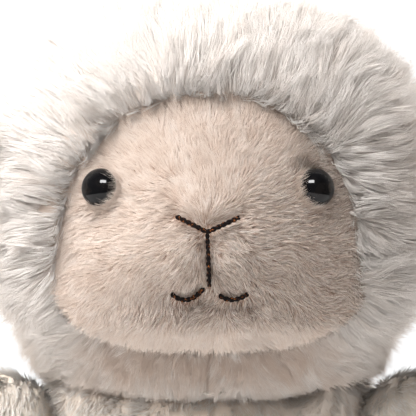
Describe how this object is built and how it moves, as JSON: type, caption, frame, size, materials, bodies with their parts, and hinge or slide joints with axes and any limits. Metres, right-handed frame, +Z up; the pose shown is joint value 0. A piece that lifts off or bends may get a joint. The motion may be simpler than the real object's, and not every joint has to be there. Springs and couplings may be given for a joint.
{
  "type": "plush sheep",
  "caption": "Seated stuffed toy sheep with a long pile hood and body, a short pile domed face, plastic eyes and sewn-on limbs that swing.",
  "frame": {"origin": "centre of the body's flat seat, on the surface that the toy sits on", "axes": "+Z up, the face looks along -Y, +X is the viewer's right from the front"},
  "size_m": [0.2396, 0.2133, 0.2483],
  "materials": {
    "long_pile": "matte",
    "peach_pile": "matte",
    "cream_pile": "matte",
    "fibre": "matte",
    "brown_thread": "satin",
    "seam_thread": "satin",
    "eye_black": "gloss",
    "washer": "satin",
    "pellet_cloth": "matte"
  },
  "bodies": {
    "body": {"body_cover": "long_pile", "body_stuffing": "fibre", "pellet_bag": "pellet_cloth", "neck_stitch": "seam_thread"},
    "head": {"hood": "long_pile", "face_panel": "peach_pile", "head_stuffing": "fibre", "eye_left": "eye_black", "eye_right": "eye_black", "eye_washer_left": "washer", "eye_washer_right": "washer", "nose_stitch": "brown_thread", "philtrum_stitch": "brown_thread", "mouth_stitch_left": "brown_thread", "mouth_stitch_right": "brown_thread"},
    "ear_left": {"ear_left_back": "cream_pile", "ear_left_lining": "peach_pile"},
    "ear_right": {"ear_right_back": "cream_pile", "ear_right_lining": "peach_pile"},
    "arm_left": {"arm_left_cover": "cream_pile", "arm_left_stuffing": "fibre"},
    "arm_right": {"arm_right_cover": "cream_pile", "arm_right_stuffing": "fibre"},
    "leg_left": {"leg_left_cover": "cream_pile", "leg_left_stuffing": "fibre"},
    "leg_right": {"leg_right_cover": "cream_pile", "leg_right_stuffing": "fibre"},
    "tail": {"tail": "long_pile"}
  },
  "joints": [
    {"name": "head_turn", "type": "hinge", "parent": "body", "child": "head", "pos_m": [0, 0, 0.1213], "axis": [0, 0, 1], "range_deg": [-25, 25], "stiffness_Nm_per_rad": 0.4},
    {"name": "ear_left_flop", "type": "hinge", "parent": "head", "child": "ear_left", "pos_m": [-0.07243, -0.03004, 0.20222], "axis": [-0.2323, -0.52, 0.822], "range_deg": [-30, 30], "stiffness_Nm_per_rad": 0.02},
    {"name": "ear_right_flop", "type": "hinge", "parent": "head", "child": "ear_right", "pos_m": [0.07243, -0.03004, 0.20222], "axis": [-0.2323, 0.52, -0.822], "range_deg": [-30, 30], "stiffness_Nm_per_rad": 0.02},
    {"name": "arm_left_swing", "type": "hinge", "parent": "body", "child": "arm_left", "pos_m": [-0.06623, -0.006, 0.105], "axis": [-1, 0, 0], "range_deg": [-30, 85], "stiffness_Nm_per_rad": 0.12},
    {"name": "arm_right_swing", "type": "hinge", "parent": "body", "child": "arm_right", "pos_m": [0.06623, -0.006, 0.105], "axis": [-1, 0, 0], "range_deg": [-30, 85], "stiffness_Nm_per_rad": 0.12},
    {"name": "leg_left_lift", "type": "hinge", "parent": "body", "child": "leg_left", "pos_m": [-0.038, -0.04782, 0.0215], "axis": [-0.96, 0.28, 0], "range_deg": [0, 35], "stiffness_Nm_per_rad": 0.12},
    {"name": "leg_right_lift", "type": "hinge", "parent": "body", "child": "leg_right", "pos_m": [0.038, -0.04782, 0.0215], "axis": [-0.96, -0.28, 0], "range_deg": [0, 35], "stiffness_Nm_per_rad": 0.12},
    {"name": "tail_flop", "type": "hinge", "parent": "body", "child": "tail", "pos_m": [0, 0.05515, 0.04], "axis": [1, 0, 0], "range_deg": [-25, 35], "stiffness_Nm_per_rad": 0.02}
  ]
}
